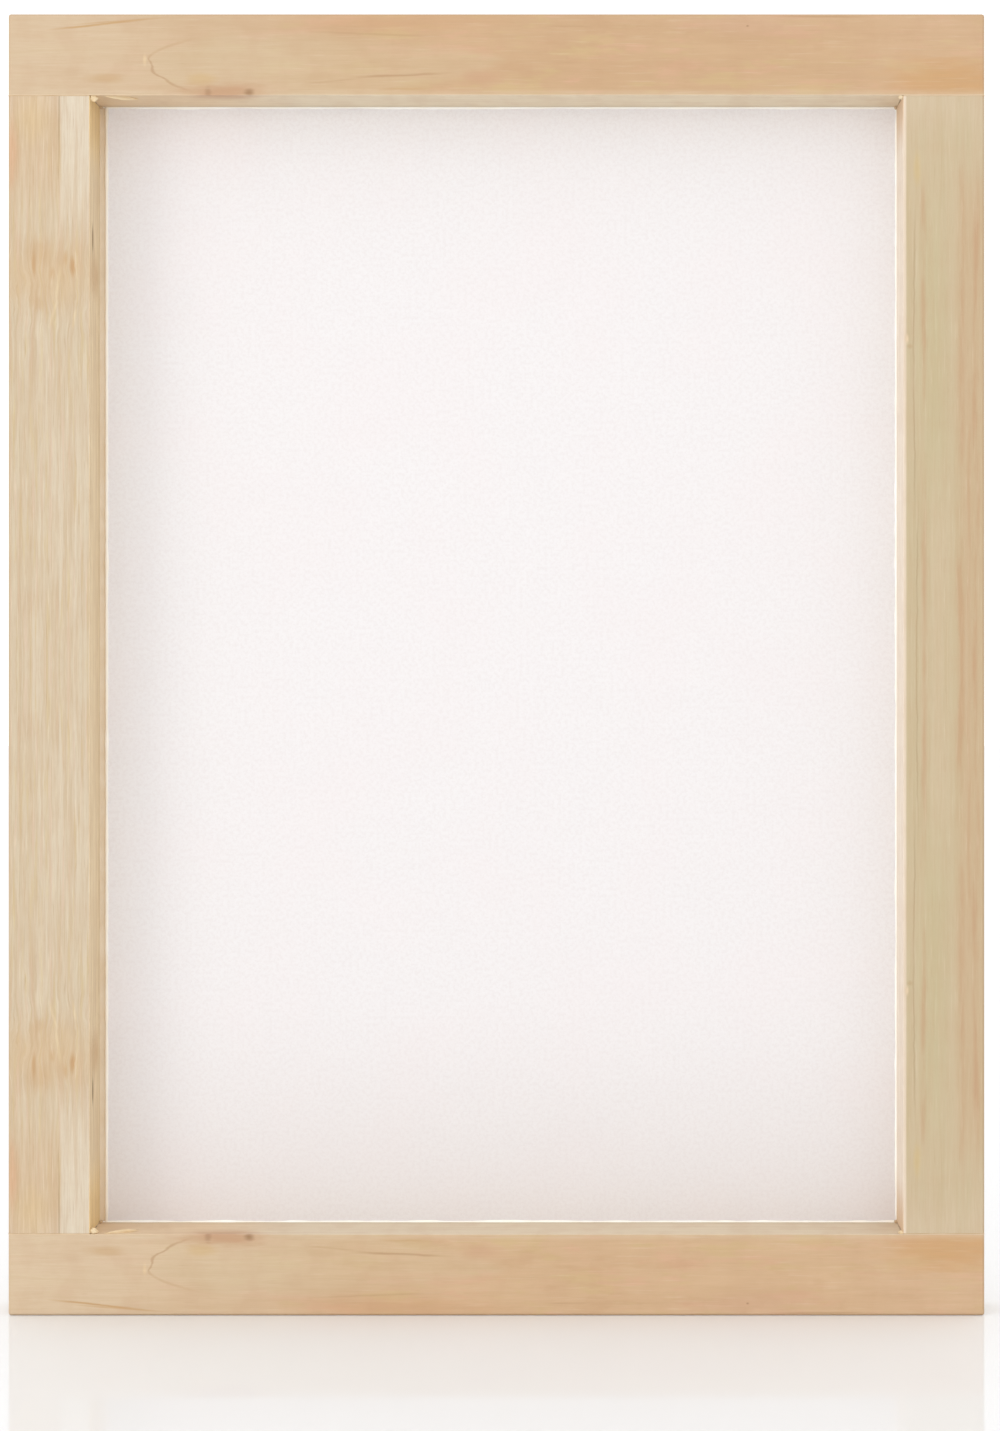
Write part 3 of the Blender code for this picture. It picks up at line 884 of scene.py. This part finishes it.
def make_stage(low, high):
    """A pale floor that mirrors the frame faintly, under an even white surround."""
    form = bmesh.new()
    bmesh.ops.create_grid(form, x_segments=4, y_segments=4, size=FLOOR_REACH)
    mesh = bpy.data.meshes.new("floor")
    form.to_mesh(mesh)
    form.free()
    floor = bpy.data.objects.new("floor", mesh)
    floor.location = (0, 0, low.z)
    bpy.context.scene.collection.objects.link(floor)
    g = Graph("floor")
    pale = g.node("ShaderNodeBsdfDiffuse")
    pale.inputs["Color"].default_value = (FLOOR_PALENESS, FLOOR_PALENESS, FLOOR_PALENESS, 1)
    shine = g.node("ShaderNodeBsdfGlossy")
    shine.inputs["Roughness"].default_value = FLOOR_BLUR
    shine.inputs["Color"].default_value = (1, 1, 1, 1)
    both = g.node("ShaderNodeMixShader")
    both.inputs["Fac"].default_value = FLOOR_MIRROR
    g.put(pale.outputs[0], both.inputs[1])
    g.put(shine.outputs[0], both.inputs[2])
    g.put(both.outputs[0], g.output.inputs["Surface"])
    mesh.materials.append(g.material)

    world = bpy.data.worlds.new("studio")
    world.use_nodes = True
    world.node_tree.nodes["Background"].inputs["Color"].default_value = (1, 1, 1, 1)
    world.node_tree.nodes["Background"].inputs["Strength"].default_value = STUDIO_LIGHT
    bpy.context.scene.world = world

    middle = (low + high) / 2
    add_area_light("key_left", LAMP_PLACE, middle, LAMP_SIZE, LAMP_POWER)
    bpy.context.scene.view_settings.view_transform = "Standard"


def make_camera(low, high):
    """A level camera in front of the frame. Its lens is shifted, so the frame's sides stay upright."""
    camera = bpy.data.cameras.new("camera")
    camera.sensor_width = SENSOR
    camera.lens = SENSOR * CAMERA_DISTANCE / PICTURE_HEIGHT_M
    camera.shift_x = SHIFT_X
    camera.shift_y = SHIFT_Y
    obj = bpy.data.objects.new("camera", camera)
    obj.location = (CAMERA_X, low.y - CAMERA_DISTANCE, (low.z + high.z) / 2)
    obj.rotation_euler = (math.pi / 2, 0, 0)
    bpy.context.scene.collection.objects.link(obj)
    bpy.context.scene.camera = obj


def dress_wood(frame, low, high):
    """Gives each member its own wood."""
    top_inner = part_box("top_rail")[0].z
    bottom_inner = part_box("bottom_rail")[1].z
    left_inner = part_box("left_stile")[1].x
    right_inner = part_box("right_stile")[0].x
    middle_z = (low.z + high.z) / 2
    rail_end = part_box("top_rail")[1].x
    stile_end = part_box("left_stile")[1].z - middle_z
    woods = {
        "top_rail": rail_wood(
            "top_rail_wood",
            lambda g: g.sub(g.position()[2], top_inner),
            low.y,
            rail_end,
            (wood_tone(216, 180, 141), wood_tone(211, 174, 135)),
            wood_tone(220, 198, 167),
            # Painted light: this wall tone is paler than the bottom rail's, making up for the little light
            # a wall facing down gets.
            wood_tone(250, 236, 208),
        ),
        "bottom_rail": rail_wood(
            "bottom_rail_wood",
            lambda g: g.sub(bottom_inner, g.position()[2]),
            low.y,
            rail_end,
            # Painted light: these tones are lighter than the top rail's, making up for the shade the bottom
            # rail gets near the floor.
            (wood_tone(223, 189, 151), wood_tone(218, 183, 145)),
            wood_tone(226, 206, 176),
            wood_tone(238, 223, 197),
        ),
        "left_stile": left_stile_wood(middle_z, left_inner, low.y, stile_end),
        "right_stile": right_stile_wood(middle_z, right_inner, low.y, stile_end),
    }
    for node, material in woods.items():
        frame["nodes"][node].material_slots[0].material = material


def make_cloth_and_bands(opening_low, opening_high, wood_back):
    """The cloth with its fringe, and the four bands of adhesive that hold it on the back."""
    cloth = cloth_material(opening_low, opening_high)
    rail_film = adhesive_material("rail_film", wood_tone(220, 193, 156), wood_tone(228, 205, 172), True)
    stile_film = adhesive_material("stile_film", wood_tone(222, 198, 162), wood_tone(230, 210, 178), False)
    cloth_low, cloth_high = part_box("screen_mesh")
    sheet, flat = make_cloth(cloth_low, cloth_high, wood_back, cloth)
    fringe = make_fringe(cloth_low, cloth_high, wood_back, cloth)

    bands = (("top", True), ("bottom", True), ("left", False), ("right", False))
    for seed, (side, along_x) in enumerate(bands):
        film = rail_film if along_x else stile_film
        make_adhesive("adhesive_" + side, along_x, wood_back, film, 20 + 3 * seed)


def make_foot_glue(left, right, bottom, top, foot):
    """Beads along the foot of all four inner walls, and the fillet between the left one and its wall."""
    bead = adhesive_material("adhesive_bead", srgb(255, 250, 238), srgb(255, 253, 248))
    yellow_bead = adhesive_material("yellowed_bead", srgb(250, 241, 226), srgb(252, 246, 236))
    past_fillet = left + FILLET_REACH
    spots = (
        ("bead_left", (past_fillet, bottom), (past_fillet, top), (1, 0, 0), 1.1, yellow_bead),
        ("bead_right", (right, bottom), (right, top), (-1, 0, 0), 1.0, bead),
        ("bead_top", (left, top), (right, top), (0, 0, -1), 1.0, bead),
        ("bead_bottom", (left, bottom), (right, bottom), (0, 0, 1), 1.0, bead),
    )
    for seed, (name, (x0, z0), (x1, z1), inward, swell, glue) in enumerate(spots):
        start = Vector((x0, foot, z0))
        end = Vector((x1, foot, z1))
        make_bead(name, start, end, Vector(inward), BEAD_RADIUS * swell, glue, 40 + seed)
    soaked = adhesive_material("soaked_glue", wood_tone(235, 210, 175), wood_tone(243, 222, 192))
    fillet_start = Vector((left, foot, bottom))
    make_fillet("fillet_left", fillet_start, Vector((left, foot, top)), Vector((1, 0, 0)), soaked, 71)


def make_corner_glue(left, right, bottom, top, front, foot):
    """What came out of the joints: lumps in the inner corners, lines at the shoulders, and two runs."""
    lump = adhesive_material("dried_glue", wood_tone(238, 208, 160), wood_tone(252, 232, 196))
    line = adhesive_material("glue_line", wood_tone(206, 172, 130), wood_tone(226, 200, 164))
    ends = (("top", top, -1), ("bottom", bottom, 1))
    foot_radii = (0.6 * MM, 1.3 * MM, 0.6 * MM)
    seed = 60
    for side, x, into, size in (("left", left, 1, 1.45), ("right", right, -1, 1.0)):
        radii = (0.9 * size * MM, 0.6 * MM, 0.7 * size * MM)
        for end, z, down in ends:
            where = (x + into * (1.5 * size - 1) * MM, front + 0.8 * MM, z + down * (size - 0.6) * MM)
            make_glue_lump(f"squeeze_out_{end}_{side}", where, radii, lump, seed)
            foot_place = (x + into * 0.25 * MM, foot - 1.0 * MM, z + down * 0.25 * MM)
            make_glue_lump(f"corner_foot_{end}_{side}", foot_place, foot_radii, line, seed + 1)
            make_joint_glue(f"joint_glue_{end}_{side}", f"{end}_rail", f"{side}_stile", line)
            seed += 2
    for end, z, down in ends:
        start = Vector((left + 4.4 * MM, front + 0.6 * MM, z + down * 0.15 * MM))
        finish = start + Vector((10.4 * MM, 3.6 * MM, down * 0.3 * MM))
        make_glue_run(f"glue_run_{end}", start, finish, lump, seed)
        seed += 1


def main():
    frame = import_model()
    low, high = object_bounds()
    make_camera(low, high)
    make_stage(low, high)

    dress_wood(frame, low, high)
    steel = steel_material()
    for node, obj in frame["nodes"].items():
        if "brad" in node:
            obj.material_slots[0].material = steel

    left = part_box("left_stile")[1].x
    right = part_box("right_stile")[0].x
    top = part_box("top_rail")[0].z
    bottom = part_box("bottom_rail")[1].z
    wood_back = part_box("top_rail")[1].y
    foot = wood_back - FOOT_RISE
    make_cloth_and_bands(Vector((left, 0, bottom)), Vector((right, 0, top)), wood_back)
    make_foot_glue(left, right, bottom, top, foot)
    make_corner_glue(left, right, bottom, top, low.y, foot)


main()
